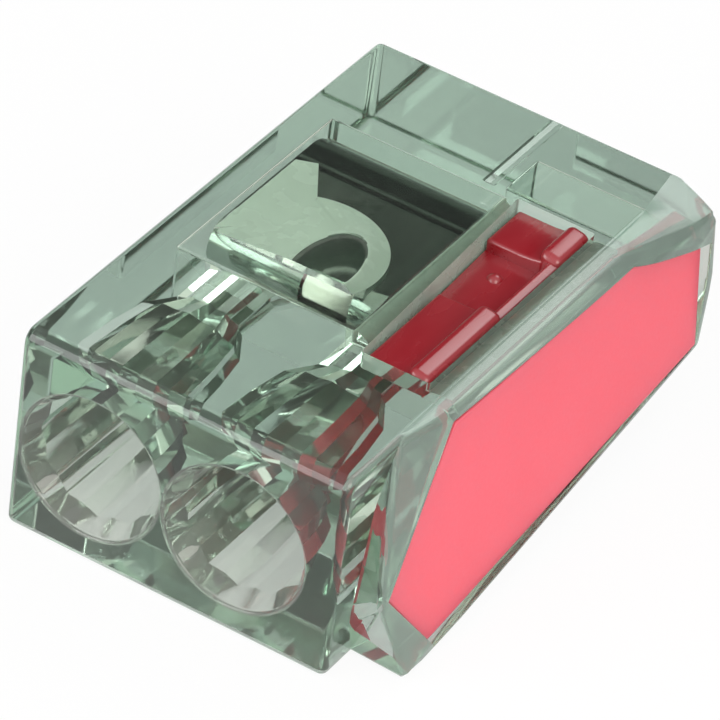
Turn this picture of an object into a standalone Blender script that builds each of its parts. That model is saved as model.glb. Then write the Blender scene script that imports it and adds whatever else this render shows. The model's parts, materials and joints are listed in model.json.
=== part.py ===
"""Two-port push-in wire connector: clear housing, red side cap, tinned busbar and steel clamping spring.

Metres, +Z up. The wire ports face -Y, the side cap faces +X and the flat underside lies on Z = 0.
Helpers take places as distances from the lower front left corner of the housing body.
"""

import math

import bmesh
import bpy
from mathutils import Vector

MM = 0.001

# Wire ports: the mouth and bore take the insulation, the throat guides the bare conductor
PORT_PITCH = 4.6 * MM
MOUTH_RADIUS = 2.2 * MM
MOUTH_TAPER = 0.7 * MM
BORE_RADIUS = 2.05 * MM
BORE_DEPTH = 3.4 * MM
THROAT_RADIUS = 1.15 * MM
THROAT_TAPER = 1.3 * MM

# Housing walls
LEFT_WALL = 0.3 * MM
RIGHT_WALL = 1.04 * MM
PORT_FLOOR = 0.9 * MM
PORT_ROOF = 1.3 * MM
CHAMBER_ROOF = 0.9 * MM
EDGE_ROUND = 0.25 * MM

# Runs along the housing, from the front face to the back
TUNNEL_LENGTH = 6.2 * MM
CHAMBER_LENGTH = 8.0 * MM
PARTITION = 0.8 * MM
REAR_POCKET_LENGTH = 1.8 * MM
REAR_POCKET_WIDTH = 4.0 * MM
REAR_POCKET_HEIGHT = 3.6 * MM
REAR_WALL = 1.1 * MM

BODY_WIDTH = LEFT_WALL + 2 * MOUTH_RADIUS + PORT_PITCH + RIGHT_WALL
BODY_LENGTH = TUNNEL_LENGTH + CHAMBER_LENGTH + PARTITION + REAR_POCKET_LENGTH + REAR_WALL
BODY_HEIGHT = PORT_FLOOR + 2 * MOUTH_RADIUS + PORT_ROOF
PORT_HEIGHT = PORT_FLOOR + MOUTH_RADIUS
LEFT_PORT = LEFT_WALL + MOUTH_RADIUS
RIGHT_PORT = LEFT_PORT + PORT_PITCH
CHAMBER_FRONT = TUNNEL_LENGTH
CHAMBER_BACK = CHAMBER_FRONT + CHAMBER_LENGTH

# Side frame: the outset of each rim corner from the body's right face, and where the corner lies
FRAME_ROOT = 0.6 * MM
FRAME_INSET = 0.05 * MM
FRAME_FOOT_OUTSET = 1.82 * MM
FRAME_FOOT_START = 1.3 * MM
FRAME_ROOT_LOW_START = 1.44 * MM
FRAME_ROOT_TOP_START = 2.48 * MM
FRAME_TIP_OUTSET = 1.11 * MM
FRAME_TIP_START = 0.5 * MM
FRAME_TIP_HEIGHT = 2.9 * MM
FRAME_BROW_OUTSET = 0.35 * MM
FRAME_BROW_START = 4.25 * MM
FRAME_BROW_MARGIN = 3.95 * MM
FRAME_BROW_DROP = 0.15 * MM
FRAME_SHOULDER_OUTSET = 1.08 * MM
FRAME_SHOULDER_DROP = 0.7 * MM
FRAME_WAIST_OUTSET = 1.29 * MM
FRAME_WAIST_HEIGHT = 3.85 * MM
FRAME_HEEL_OUTSET = 1.39 * MM
FRAME_HEEL_MARGIN = 0.45 * MM
FRAME_HEEL_HEIGHT = 1.69 * MM
FACET_INSET = 0.52 * MM

# Side cap: a six-sided plate that leans outwards towards its foot and narrows towards its seat
CAP_CLEARANCE = 0.06 * MM
PLATE_OUTSET = 1.52 * MM
PLATE_LEAN = math.radians(10.1)
PLATE_TURN = math.radians(0.8)
PLATE_SEAT = 0.24 * MM
PLATE_TIP_START = 0.95 * MM
PLATE_TIP_HEIGHT = 2.75 * MM
PLATE_FOOT_START = 2.8 * MM
PLATE_FOOT_HEIGHT = 0.35 * MM
PLATE_HEEL_MARGIN = 0.8 * MM
PLATE_HEEL_HEIGHT = 1.9 * MM
PLATE_SHOULDER_MARGIN = 0.4 * MM
PLATE_SHOULDER_DROP = 1.55 * MM
PLATE_BROW_START = 4.6 * MM
PLATE_BROW_MARGIN = 4.2 * MM
PLATE_BROW_DROP = 0.45 * MM
PLATE_TIP_TAPER = 1.65 * MM
PLATE_SIDE_TAPER = 0.2 * MM
PLATE_FOOT_TAPER = 0.35 * MM
PLATE_HEEL_TAPER = 1.0 * MM
PLUG_THICKNESS = 0.6 * MM

# Latch tongue in the window of the top face
WINDOW_START = 4.85 * MM
WINDOW_LENGTH = 9.0 * MM
WINDOW_WIDTH = 2.15 * MM
BAR_WIDTH = 0.5 * MM
BAR_HEIGHT = 0.6 * MM
TONGUE_THICKNESS = 0.5 * MM
LATCH_CLEARANCE = 0.08 * MM
POCKET_WALL = 0.8 * MM
POCKET_FLOOR = 0.5 * MM
HOOK_RISE = 0.5 * MM
HOOK_RIDGE = 0.35 * MM
HOOK_TOE = 0.4 * MM
FRONT_HOOK_LENGTH = 4.0 * MM
REAR_HOOK_LENGTH = 2.35 * MM

SEAT_FACE = BODY_WIDTH - PLATE_SEAT
WINDOW_RIGHT = SEAT_FACE - BAR_WIDTH
WINDOW_LEFT = WINDOW_RIGHT - WINDOW_WIDTH
POCKET_TOP = BODY_HEIGHT - BAR_HEIGHT
TONGUE_TOP = POCKET_TOP - LATCH_CLEARANCE
TONGUE_BOTTOM = TONGUE_TOP - TONGUE_THICKNESS
POCKET_BOTTOM = TONGUE_BOTTOM - LATCH_CLEARANCE
LOW_CEILING = POCKET_BOTTOM - POCKET_FLOOR
HIGH_CEILING = BODY_HEIGHT - CHAMBER_ROOF

# Contact set: busbar below, spring strip above, one clamping leaf for each port
SEAT_CLEARANCE = 0.05 * MM
CONTACT_CLEARANCE = 0.1 * MM
SIDE_CLEARANCE = 0.2 * MM
BUSBAR_THICKNESS = 0.7 * MM
BUSBAR_BEND = 0.6 * MM
BUSBAR_FRONT_GAP = 0.8 * MM
SPRING_THICKNESS = 0.25 * MM
SPRING_BEND = 0.6 * MM
SPRING_BEND_START = 2.1 * MM
FLANGE_BEND = 0.3 * MM
FLANGE_LENGTH = 2.2 * MM
LEAF_WIDTH = 3.0 * MM
LEAF_ANGLE = math.radians(40)
HINGE_GAP = 0.12 * MM

CHAMBER_LEFT = LEFT_PORT - LEAF_WIDTH / 2 - SIDE_CLEARANCE
HIGH_RIGHT = WINDOW_LEFT - POCKET_WALL
PLUG_FACE = SEAT_FACE - PLUG_THICKNESS
CONTACT_LEFT = CHAMBER_LEFT + SIDE_CLEARANCE
BUSBAR_TOP = PORT_HEIGHT - THROAT_RADIUS
BUSBAR_LEVEL = BUSBAR_TOP - BUSBAR_THICKNESS / 2
CHAMBER_FLOOR = BUSBAR_TOP - BUSBAR_THICKNESS - SEAT_CLEARANCE
ARM_RIGHT = HIGH_RIGHT - SIDE_CLEARANCE
NOTCH_HEIGHT = LOW_CEILING - CONTACT_CLEARANCE
LEAF_RIGHT = RIGHT_PORT + LEAF_WIDTH / 2
SPRING_LEVEL = HIGH_CEILING - CONTACT_CLEARANCE - SPRING_THICKNESS / 2
FLANGE_RUN = CHAMBER_BACK - CONTACT_CLEARANCE - SPRING_THICKNESS / 2
UPSTAND_RUN = FLANGE_RUN - (SPRING_THICKNESS + BUSBAR_THICKNESS) / 2 - SEAT_CLEARANCE
UPSTAND_TOP = SPRING_LEVEL - SPRING_THICKNESS / 2 - SEAT_CLEARANCE
BEND_CENTRE = (CHAMBER_FRONT + SPRING_BEND_START, SPRING_LEVEL - SPRING_BEND)
BEND_END = math.pi * 3 / 2 - LEAF_ANGLE
HINGE_RUN = BEND_CENTRE[0] + SPRING_BEND * math.cos(BEND_END)
HINGE_HEIGHT = BEND_CENTRE[1] + SPRING_BEND * math.sin(BEND_END)

PORT_STEPS = 32
BEND_STEPS = 8
ROUND_SEGMENTS = 2
MERGE = 1e-5
OVERSHOOT = 1.0 * MM
ROOT_DEPTH = 0.2 * MM
FACET_SPREAD = 2


def at(x, y, z):
    """World place of a point given from the lower front left corner of the housing body."""
    return Vector((x - (BODY_WIDTH + FRAME_FOOT_OUTSET) / 2, y - BODY_LENGTH / 2, z))


def collection_named(name):
    collection = bpy.data.collections.new(name)
    bpy.context.scene.collection.children.link(collection)
    return collection


def material(name, colour, roughness, metallic=0.0, transmission=0.0):
    finish = bpy.data.materials.new(name)
    finish.use_nodes = True
    shader = finish.node_tree.nodes["Principled BSDF"]
    shader.inputs["Base Color"].default_value = (*colour, 1.0)
    shader.inputs["Roughness"].default_value = roughness
    shader.inputs["Metallic"].default_value = metallic
    shader.inputs["Transmission Weight"].default_value = transmission
    return finish


def object_from(bm, name, collection):
    """A finished object from a bmesh, with its faces pointing outwards."""
    bmesh.ops.recalc_face_normals(bm, faces=bm.faces)
    mesh = bpy.data.meshes.new(name)
    bm.to_mesh(mesh)
    bm.free()
    piece = bpy.data.objects.new(name, mesh)
    collection.objects.link(piece)
    return piece


def helper(piece):
    """Marks an object as a cutter or a filler that isn't a piece of its own."""
    piece.hide_render = True
    piece.display_type = "WIRE"
    return piece


def box(name, low, high, collection):
    """A block between two corners."""
    bm = bmesh.new()
    bmesh.ops.create_cube(bm, size=1.0)
    low = at(*low)
    high = at(*high)
    bmesh.ops.scale(bm, vec=high - low, verts=bm.verts)
    bmesh.ops.translate(bm, vec=(low + high) / 2, verts=bm.verts)
    return object_from(bm, name, collection)


def hull(name, points, collection):
    """The tightest convex block round some points."""
    bm = bmesh.new()
    for point in points:
        bm.verts.new(at(*point))
    made = bmesh.ops.convex_hull(bm, input=bm.verts)
    spare = [item for item in made["geom_interior"] if isinstance(item, bmesh.types.BMVert)]
    bmesh.ops.delete(bm, geom=spare, context="VERTS")
    return object_from(bm, name, collection)


def extruded(name, outline, start, end, collection):
    """An outline of (x, z) points drawn out along Y."""
    bm = bmesh.new()
    face = bm.faces.new([bm.verts.new(at(x, start, z)) for x, z in outline])
    drawn = bmesh.ops.extrude_face_region(bm, geom=[face])
    moved = [item for item in drawn["geom"] if isinstance(item, bmesh.types.BMVert)]
    bmesh.ops.translate(bm, vec=(0, end - start, 0), verts=moved)
    return object_from(bm, name, collection)


def turned(name, profile, x, z, collection):
    """A profile of (radius, depth) points, deepest first, turned about a port's axis."""
    bm = bmesh.new()
    points = [bm.verts.new((radius, 0, depth)) for radius, depth in profile]
    for pair in zip(points, points[1:]):
        bm.edges.new(pair)
    piece = object_from(bm, name, collection)
    piece.location = at(x, 0, z)
    piece.rotation_euler = (-math.pi / 2, 0, 0)
    screw = piece.modifiers.new("turn", "SCREW")
    screw.steps = PORT_STEPS
    screw.render_steps = PORT_STEPS
    screw.use_merge_vertices = True
    screw.merge_threshold = MERGE
    return piece


def strip(name, path, left, right, thickness, collection, origin=None):
    """Sheet metal of even thickness: a path of (y, z) points drawn out along X."""
    origin = origin or Vector((0, 0, 0))
    bm = bmesh.new()
    points = [bm.verts.new(at(left, y, z) - origin) for y, z in path]
    edges = [bm.edges.new(pair) for pair in zip(points, points[1:])]
    drawn = bmesh.ops.extrude_edge_only(bm, edges=edges)
    moved = [item for item in drawn["geom"] if isinstance(item, bmesh.types.BMVert)]
    bmesh.ops.translate(bm, vec=(right - left, 0, 0), verts=moved)
    sheet = object_from(bm, name, collection)
    sheet.location = origin
    gauge = sheet.modifiers.new("gauge", "SOLIDIFY")
    gauge.thickness = thickness
    gauge.offset = 0
    gauge.use_even_offset = True
    return sheet


def boolean(target, tool, operation):
    step = target.modifiers.new(tool.name, "BOOLEAN")
    step.operation = operation
    step.object = helper(tool)
    step.solver = "EXACT"


def arc(centre, radius, start, end):
    """Points (y, z) on a circle, with angles measured from +Y towards +Z."""
    angles = [start + (end - start) * step / BEND_STEPS for step in range(BEND_STEPS + 1)]
    return [(centre[0] + radius * math.cos(angle), centre[1] + radius * math.sin(angle)) for angle in angles]


def grown(outline, by):
    """An outline of (y, z) points, listed anticlockwise, moved outwards by an even distance."""
    moved = []
    for index, corner in enumerate(outline):
        before = Vector(corner) - Vector(outline[index - 1])
        after = Vector(outline[(index + 1) % len(outline)]) - Vector(corner)
        first = Vector((before.y, -before.x)).normalized()
        second = Vector((after.y, -after.x)).normalized()
        moved.append(tuple(Vector(corner) + (first + second) * by / (1 + first.dot(second))))
    return moved


def plate_face(y, z):
    """How far out the cap's leaning face lies at a place (y, z)."""
    return BODY_WIDTH + PLATE_OUTSET + math.tan(PLATE_TURN) * y - math.tan(PLATE_LEAN) * z


def plate_outlines():
    """The cap's outline at its face and at its seat, as (y, z) points from the tip round the foot."""
    face = [
        (PLATE_TIP_START, PLATE_TIP_HEIGHT),
        (PLATE_FOOT_START, PLATE_FOOT_HEIGHT),
        (BODY_LENGTH - PLATE_HEEL_MARGIN, PLATE_HEEL_HEIGHT),
        (BODY_LENGTH - PLATE_SHOULDER_MARGIN, BODY_HEIGHT - PLATE_SHOULDER_DROP),
        (BODY_LENGTH - PLATE_BROW_MARGIN, BODY_HEIGHT - PLATE_BROW_DROP),
        (PLATE_BROW_START, BODY_HEIGHT - PLATE_BROW_DROP),
    ]
    tip, foot, heel, shoulder, rear_brow, front_brow = face
    seat = [
        (tip[0] + PLATE_TIP_TAPER, tip[1]),
        (foot[0] + PLATE_SIDE_TAPER, foot[1] + PLATE_FOOT_TAPER),
        (heel[0] - PLATE_SIDE_TAPER, heel[1] - PLATE_HEEL_TAPER),
        (shoulder[0] - PLATE_SIDE_TAPER, shoulder[1] - PLATE_SIDE_TAPER),
        (rear_brow[0] - PLATE_SIDE_TAPER, rear_brow[1] - PLATE_SIDE_TAPER),
        (front_brow[0] + PLATE_SIDE_TAPER, front_brow[1] - PLATE_SIDE_TAPER),
    ]
    return face, seat


def frame_corners():
    """Corners (x, y, z) of the clear side frame, with a root that reaches into the body."""
    top = BODY_HEIGHT - FRAME_INSET
    back = BODY_LENGTH - FRAME_INSET
    root = [
        (FRAME_ROOT_LOW_START, FRAME_INSET),
        (FRAME_ROOT_TOP_START, top),
        (back, top),
        (back, FRAME_INSET),
    ]
    brow = BODY_HEIGHT - FRAME_BROW_DROP
    rim = [
        (FRAME_FOOT_OUTSET, FRAME_FOOT_START, FRAME_INSET),
        (FRAME_TIP_OUTSET, FRAME_TIP_START, FRAME_TIP_HEIGHT),
        (FRAME_BROW_OUTSET, FRAME_BROW_START, brow),
        (FRAME_BROW_OUTSET, BODY_LENGTH - FRAME_BROW_MARGIN, brow),
        (FRAME_SHOULDER_OUTSET, back, BODY_HEIGHT - FRAME_SHOULDER_DROP),
        (FRAME_WAIST_OUTSET, back, FRAME_WAIST_HEIGHT),
        (FRAME_HEEL_OUTSET, BODY_LENGTH - FRAME_HEEL_MARGIN, FRAME_HEEL_HEIGHT),
    ]
    corners = [(BODY_WIDTH + depth, y, z) for depth in (-FRAME_ROOT, 0) for y, z in root]
    return corners + [(BODY_WIDTH + outset, y, z) for outset, y, z in rim]


def facet_cutter(cutters):
    """The slanted corner between the top face, the back face and the shoulder of the side frame."""
    brow = Vector((FRAME_BROW_OUTSET, -FRAME_BROW_MARGIN, -FRAME_BROW_DROP))
    shoulder = Vector((FRAME_SHOULDER_OUTSET, 0, -FRAME_SHOULDER_DROP))
    top = Vector((-FACET_INSET, 0, 0))
    corner = Vector((BODY_WIDTH, BODY_LENGTH, BODY_HEIGHT))
    centre = (brow + shoulder + top) / 3
    outward = (shoulder - brow).cross(top - brow).normalized() * OVERSHOOT
    near = [corner + centre + (point - centre) * FACET_SPREAD for point in (brow, shoulder, top)]
    far = [point + outward for point in near]
    return hull("shoulder_facet", near + far, cutters)


def recess_cutters(cutters):
    """The tapered recess in the side frame that takes the cap's plate, and its mouth through the rim."""
    face, seat = plate_outlines()
    opening = grown(face, CAP_CLEARANCE)
    bed = [(SEAT_FACE, y, z) for y, z in grown(seat, CAP_CLEARANCE)]
    inside = [(plate_face(y, z) - CAP_CLEARANCE, y, z) for y, z in opening]
    lip = [(plate_face(y, z), y, z) for y, z in opening]
    outside = [(x + OVERSHOOT, y, z) for x, y, z in lip]
    return [hull("plate_recess", bed + lip, cutters), hull("plate_mouth", inside + outside, cutters)]


def make_housing(parts, cutters):
    """Clear shell: two wire tunnels, contact chamber, latch window, rear pocket and side frame."""
    housing = box("housing", (0, 0, 0), (BODY_WIDTH, BODY_LENGTH, BODY_HEIGHT), parts)
    rounding = housing.modifiers.new("edges", "BEVEL")
    rounding.width = EDGE_ROUND
    rounding.segments = ROUND_SEGMENTS
    boolean(housing, hull("side_frame", frame_corners(), cutters), "UNION")
    profile = [
        (0, TUNNEL_LENGTH + ROOT_DEPTH),
        (THROAT_RADIUS, TUNNEL_LENGTH + ROOT_DEPTH),
        (THROAT_RADIUS, BORE_DEPTH + THROAT_TAPER),
        (BORE_RADIUS, BORE_DEPTH),
        (BORE_RADIUS, MOUTH_TAPER),
        (MOUTH_RADIUS, 0),
        (MOUTH_RADIUS, -OVERSHOOT),
        (0, -OVERSHOOT),
    ]
    window_end = WINDOW_START + WINDOW_LENGTH
    pocket_start = CHAMBER_BACK + PARTITION
    pocket_end = pocket_start + REAR_POCKET_LENGTH
    tools = [
        turned("left_tunnel", profile, LEFT_PORT, PORT_HEIGHT, cutters),
        turned("right_tunnel", profile, RIGHT_PORT, PORT_HEIGHT, cutters),
        facet_cutter(cutters),
        *recess_cutters(cutters),
        box(
            "spring_space",
            (CHAMBER_LEFT, CHAMBER_FRONT, CHAMBER_FLOOR),
            (HIGH_RIGHT, CHAMBER_BACK, HIGH_CEILING),
            cutters,
        ),
        box(
            "contact_space",
            (HIGH_RIGHT - ROOT_DEPTH, CHAMBER_FRONT, CHAMBER_FLOOR),
            (SEAT_FACE + ROOT_DEPTH, CHAMBER_BACK, LOW_CEILING),
            cutters,
        ),
        box(
            "latch_window",
            (WINDOW_LEFT, WINDOW_START, POCKET_BOTTOM),
            (WINDOW_RIGHT, window_end, BODY_HEIGHT + OVERSHOOT),
            cutters,
        ),
        box(
            "latch_slot",
            (WINDOW_RIGHT - ROOT_DEPTH, WINDOW_START, POCKET_BOTTOM),
            (SEAT_FACE + ROOT_DEPTH, window_end, POCKET_TOP),
            cutters,
        ),
        box(
            "rear_pocket",
            (SEAT_FACE - REAR_POCKET_WIDTH, pocket_start, CHAMBER_FLOOR),
            (SEAT_FACE + ROOT_DEPTH, pocket_end, CHAMBER_FLOOR + REAR_POCKET_HEIGHT),
            cutters,
        ),
    ]
    for tool in tools:
        boolean(housing, tool, "DIFFERENCE")
    housing.data.materials.append(material("clear_plastic", (0.62, 0.72, 0.66), 0.06, transmission=1.0))
    return housing


def make_side_cap(parts, cutters):
    """Red cap: plate, plug that closes the chamber, and latch tongue with two ramped hooks."""
    face, seat = plate_outlines()
    corners = [(SEAT_FACE + CAP_CLEARANCE, y, z) for y, z in seat]
    corners += [(plate_face(y, z), y, z) for y, z in face]
    cap = hull("side_cap", corners, parts)
    rooted = SEAT_FACE + ROOT_DEPTH
    plug = box(
        "chamber_plug",
        (PLUG_FACE, CHAMBER_FRONT + CAP_CLEARANCE, CHAMBER_FLOOR + CAP_CLEARANCE),
        (rooted, CHAMBER_BACK - CAP_CLEARANCE, LOW_CEILING - CAP_CLEARANCE),
        cutters,
    )
    left = WINDOW_LEFT + LATCH_CLEARANCE
    right = WINDOW_RIGHT - LATCH_CLEARANCE
    start = WINDOW_START + LATCH_CLEARANCE
    end = WINDOW_START + WINDOW_LENGTH - LATCH_CLEARANCE
    tongue = box("latch_tongue", (left, start, TONGUE_BOTTOM), (rooted, end, TONGUE_TOP), cutters)
    middle = (TONGUE_BOTTOM + TONGUE_TOP) / 2
    hook = [
        (left + HOOK_TOE, middle),
        (right, middle),
        (right, TONGUE_TOP + HOOK_RISE),
        (right - HOOK_RIDGE, TONGUE_TOP + HOOK_RISE),
        (left + HOOK_TOE, TONGUE_TOP + LATCH_CLEARANCE),
    ]
    front_hook = extruded("front_hook", hook, start + SEAT_CLEARANCE, start + FRONT_HOOK_LENGTH, cutters)
    rear_hook = extruded("rear_hook", hook, end - REAR_HOOK_LENGTH, end - SEAT_CLEARANCE, cutters)
    for piece in (plug, tongue, front_hook, rear_hook):
        boolean(cap, piece, "UNION")
    cap.data.materials.append(material("red_plastic", (0.72, 0.09, 0.11), 0.4))
    return cap


def pocket_notch(name, cutters):
    """The corner that a metal piece leaves free for the latch pocket."""
    return box(
        name,
        (ARM_RIGHT, CHAMBER_FRONT, NOTCH_HEIGHT),
        (SEAT_FACE, CHAMBER_BACK, BODY_HEIGHT),
        cutters,
    )


def make_busbar(parts, cutters):
    """Tinned copper bar under both ports, turned up at the back to carry the spring."""
    corner = (UPSTAND_RUN - BUSBAR_BEND, BUSBAR_LEVEL + BUSBAR_BEND)
    path = [(CHAMBER_FRONT + BUSBAR_FRONT_GAP, BUSBAR_LEVEL)]
    path += arc(corner, BUSBAR_BEND, -math.pi / 2, 0)
    path.append((UPSTAND_RUN, UPSTAND_TOP))
    right = PLUG_FACE - SIDE_CLEARANCE
    busbar = strip("busbar", path, CONTACT_LEFT, right, BUSBAR_THICKNESS, parts)
    boolean(busbar, pocket_notch("busbar_notch", cutters), "DIFFERENCE")
    busbar.data.materials.append(material("tinned_copper", (0.72, 0.71, 0.67), 0.22, metallic=1.0))
    return busbar


def make_spring_base(parts, cutters, steel):
    """Fixed run of the spring strip: rear flange, flat arm and the two front bends."""
    path = [(FLANGE_RUN, SPRING_LEVEL - FLANGE_LENGTH)]
    path += arc((FLANGE_RUN - FLANGE_BEND, SPRING_LEVEL - FLANGE_BEND), FLANGE_BEND, 0, math.pi / 2)
    path += arc(BEND_CENTRE, SPRING_BEND, math.pi / 2, BEND_END - HINGE_GAP / 2 / SPRING_BEND)
    base = strip("spring_base", path, CONTACT_LEFT, LEAF_RIGHT, SPRING_THICKNESS, parts)
    slot = box(
        "spring_slot",
        (LEFT_PORT + LEAF_WIDTH / 2, CHAMBER_FRONT, CHAMBER_FLOOR),
        (RIGHT_PORT - LEAF_WIDTH / 2, BEND_CENTRE[0], BODY_HEIGHT),
        cutters,
    )
    boolean(base, slot, "DIFFERENCE")
    boolean(base, pocket_notch("spring_notch", cutters), "DIFFERENCE")
    base.data.materials.append(steel)
    return base


def make_leaf(name, port, parts, steel):
    """Clamping leaf: its origin is on the bend line and its tip rests just above the busbar."""
    tip_height = BUSBAR_TOP + SEAT_CLEARANCE + SPRING_THICKNESS / 2 * math.cos(LEAF_ANGLE)
    length = (HINGE_HEIGHT - tip_height) / math.sin(LEAF_ANGLE)
    path = [
        (HINGE_RUN + run * math.cos(LEAF_ANGLE), HINGE_HEIGHT - run * math.sin(LEAF_ANGLE))
        for run in (HINGE_GAP / 2, length)
    ]
    hinge = at(port, HINGE_RUN, HINGE_HEIGHT)
    left = port - LEAF_WIDTH / 2
    right = port + LEAF_WIDTH / 2
    leaf = strip(name, path, left, right, SPRING_THICKNESS, parts, hinge)
    leaf.data.materials.append(steel)
    return leaf


def main():
    for old in list(bpy.data.objects):
        bpy.data.objects.remove(old, do_unlink=True)
    parts = collection_named("push_in_connector")
    cutters = collection_named("cutters")
    steel = material("spring_steel", (0.28, 0.31, 0.29), 0.3, metallic=1.0)
    pieces = [
        make_housing(parts, cutters),
        make_side_cap(parts, cutters),
        make_busbar(parts, cutters),
        make_spring_base(parts, cutters, steel),
        make_leaf("spring_leaf_left", LEFT_PORT, parts, steel),
        make_leaf("spring_leaf_right", RIGHT_PORT, parts, steel),
    ]
    root = bpy.data.objects.new("connector_frame", None)
    parts.objects.link(root)
    for piece in pieces:
        piece.parent = root


main()
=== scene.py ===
"""Looks of a two-port push-in wire connector: clear housing, red side cap, tinned busbar and steel spring.

Metres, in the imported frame: wire ports towards -Y, side cap towards +X, underside on Z = 0.
Places are distances from the lower front left corner of the housing, turned into the frame by at().
"""

import json
import math

import bmesh
import bpy
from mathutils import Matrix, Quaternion, Vector


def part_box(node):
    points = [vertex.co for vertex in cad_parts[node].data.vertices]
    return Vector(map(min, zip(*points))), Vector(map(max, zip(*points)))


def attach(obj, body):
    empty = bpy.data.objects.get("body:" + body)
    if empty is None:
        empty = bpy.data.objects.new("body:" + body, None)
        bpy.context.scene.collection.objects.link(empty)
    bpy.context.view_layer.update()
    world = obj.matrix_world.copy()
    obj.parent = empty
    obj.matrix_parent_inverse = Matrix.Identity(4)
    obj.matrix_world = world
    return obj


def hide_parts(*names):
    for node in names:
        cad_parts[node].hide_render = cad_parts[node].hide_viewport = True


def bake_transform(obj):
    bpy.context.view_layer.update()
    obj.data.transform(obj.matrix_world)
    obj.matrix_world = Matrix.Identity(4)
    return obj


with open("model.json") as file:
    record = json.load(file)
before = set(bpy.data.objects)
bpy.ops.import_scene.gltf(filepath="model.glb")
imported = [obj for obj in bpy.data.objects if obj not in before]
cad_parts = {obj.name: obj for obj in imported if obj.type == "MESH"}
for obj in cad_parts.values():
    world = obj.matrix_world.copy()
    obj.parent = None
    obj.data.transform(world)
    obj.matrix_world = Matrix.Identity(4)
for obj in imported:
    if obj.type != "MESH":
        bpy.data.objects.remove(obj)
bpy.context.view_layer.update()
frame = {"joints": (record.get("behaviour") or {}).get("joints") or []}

MM = 0.001

# Housing, read from the frame
CORNER, FAR_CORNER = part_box("housing")
FRAME_FOOT_OUTSET = 1.82 * MM
BODY_WIDTH = FAR_CORNER.x - CORNER.x - FRAME_FOOT_OUTSET
BODY_LENGTH = FAR_CORNER.y - CORNER.y
BODY_HEIGHT = FAR_CORNER.z - CORNER.z
BODY_ROUND = 0.25 * MM
BROW_ROUND = 0.5 * MM

# Wire ports: mouth, fluted bore, cone and throat
LEFT_PORT, RIGHT_PORT = (joint["pos_m"][0] - CORNER.x for joint in frame["joints"])
PORT_HEIGHT = 3.1 * MM
MOUTH_RADIUS = 2.2 * MM
MOUTH_ROUND = 0.12 * MM
MOUTH_TAPER = 0.7 * MM
BORE_RADIUS = 2.05 * MM
BORE_STEPS = ((2.02 * MM, 1.9 * MM), (1.92 * MM, 3.1 * MM), (1.72 * MM, 4.4 * MM))
THROAT_RADIUS = 1.15 * MM
THROAT_START = 5.4 * MM
TUNNEL_LENGTH = 6.2 * MM
FLATS = 12
RIB_HEIGHT = 0.08 * MM
FLAT_STEPS = 8

# Chamber, latch window and rear pocket
CHAMBER_LEFT = 0.8 * MM
CHAMBER_BACK = 14.2 * MM
CHAMBER_FLOOR = 1.2 * MM
LOW_CEILING = 4.84 * MM
HIGH_CEILING = 5.7 * MM
HIGH_RIGHT = 6.65 * MM
STEP_FOOT = 7.2 * MM
CHAMBER_ROUND = 0.12 * MM
DOME_CENTRE = (3.5 * MM, 8.5 * MM)
DOME_RADIUS = 2.4 * MM
DOME_ROOF = 0.85 * MM
DOME_SLOPE = math.radians(18)
DOME_ROUND = 0.6 * MM
DOME_SHIFT = Vector((1.1, -0.6, 0)) * MM
DOME_STRETCH = 2.0
DOME_FRONT = 7.5 * MM
CEILING_FLARE = ((1.15, 7.6), (1.15, 11.75), (1.75, 12.0), (2.6, 10.6), (2.6, 9.0))
FLARE_RISE = 0.08 * MM
SEAT_FACE = 10.1 * MM
WINDOW_LEFT = 7.47 * MM
WINDOW_TAPER = 0.35 * MM
WINDOW_RIGHT = 9.64 * MM
WINDOW_START = 5.1 * MM
WINDOW_END = 13.85 * MM
POCKET_BOTTOM = 5.34 * MM
POCKET_TOP = 5.98 * MM
POCKET_FLARE = 0.24 * MM
WINDOW_ROUND = 0.1 * MM
REAR_LEFT = 6.1 * MM
REAR_START = 15.0 * MM
REAR_END = 16.8 * MM
REAR_TOP = 4.8 * MM
GROOVE_RADIUS = 0.4 * MM
GROOVE_DEPTH = 0.07 * MM
GROOVE_START = 13.95 * MM

# Side frame: outset from the body's right face, run from the front and height of each rim corner
FRAME_ROOT = 0.9 * MM
FRAME_ROUND = 0.35 * MM
FRAME_ROOTS = ((1.44, 0.05), (2.48, 6.59), (17.85, 6.59), (17.85, 0.05))
FRAME_RIM = (
    (1.82, 1.3, 0.05),
    (1.11, 0.5, 2.9),
    (0.35, 4.25, 6.45),
    (0.35, 13.95, 6.45),
    (1.08, 17.85, 5.9),
    (1.29, 17.85, 3.85),
    (1.39, 17.45, 1.69),
)
FACET = ((0.35, 13.95, 6.45), (1.08, 17.9, 5.9), (-0.52, 17.9, 6.6))
FACET_SPREAD = 2

# Side cap: outlines (run, height) of the plate's face and of its seat, from the tip round the foot
PLATE_OUTSET = 1.52 * MM
PLATE_LEAN = math.radians(10.1)
PLATE_TURN = math.radians(0.8)
PLATE_FACE = ((0.95, 2.75), (2.8, 0.35), (17.1, 1.9), (17.5, 5.05), (13.7, 6.15), (4.6, 6.15))
PLATE_BED = ((2.6, 2.75), (3.0, 0.7), (16.9, 0.9), (17.3, 4.85), (13.5, 5.95), (4.8, 5.95))
PLATE_ROUND = 0.05 * MM
CAP_CLEARANCE = 0.06 * MM
SEAT_PRESS = 0.02 * MM
PLUG_FACE = 9.5 * MM

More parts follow.
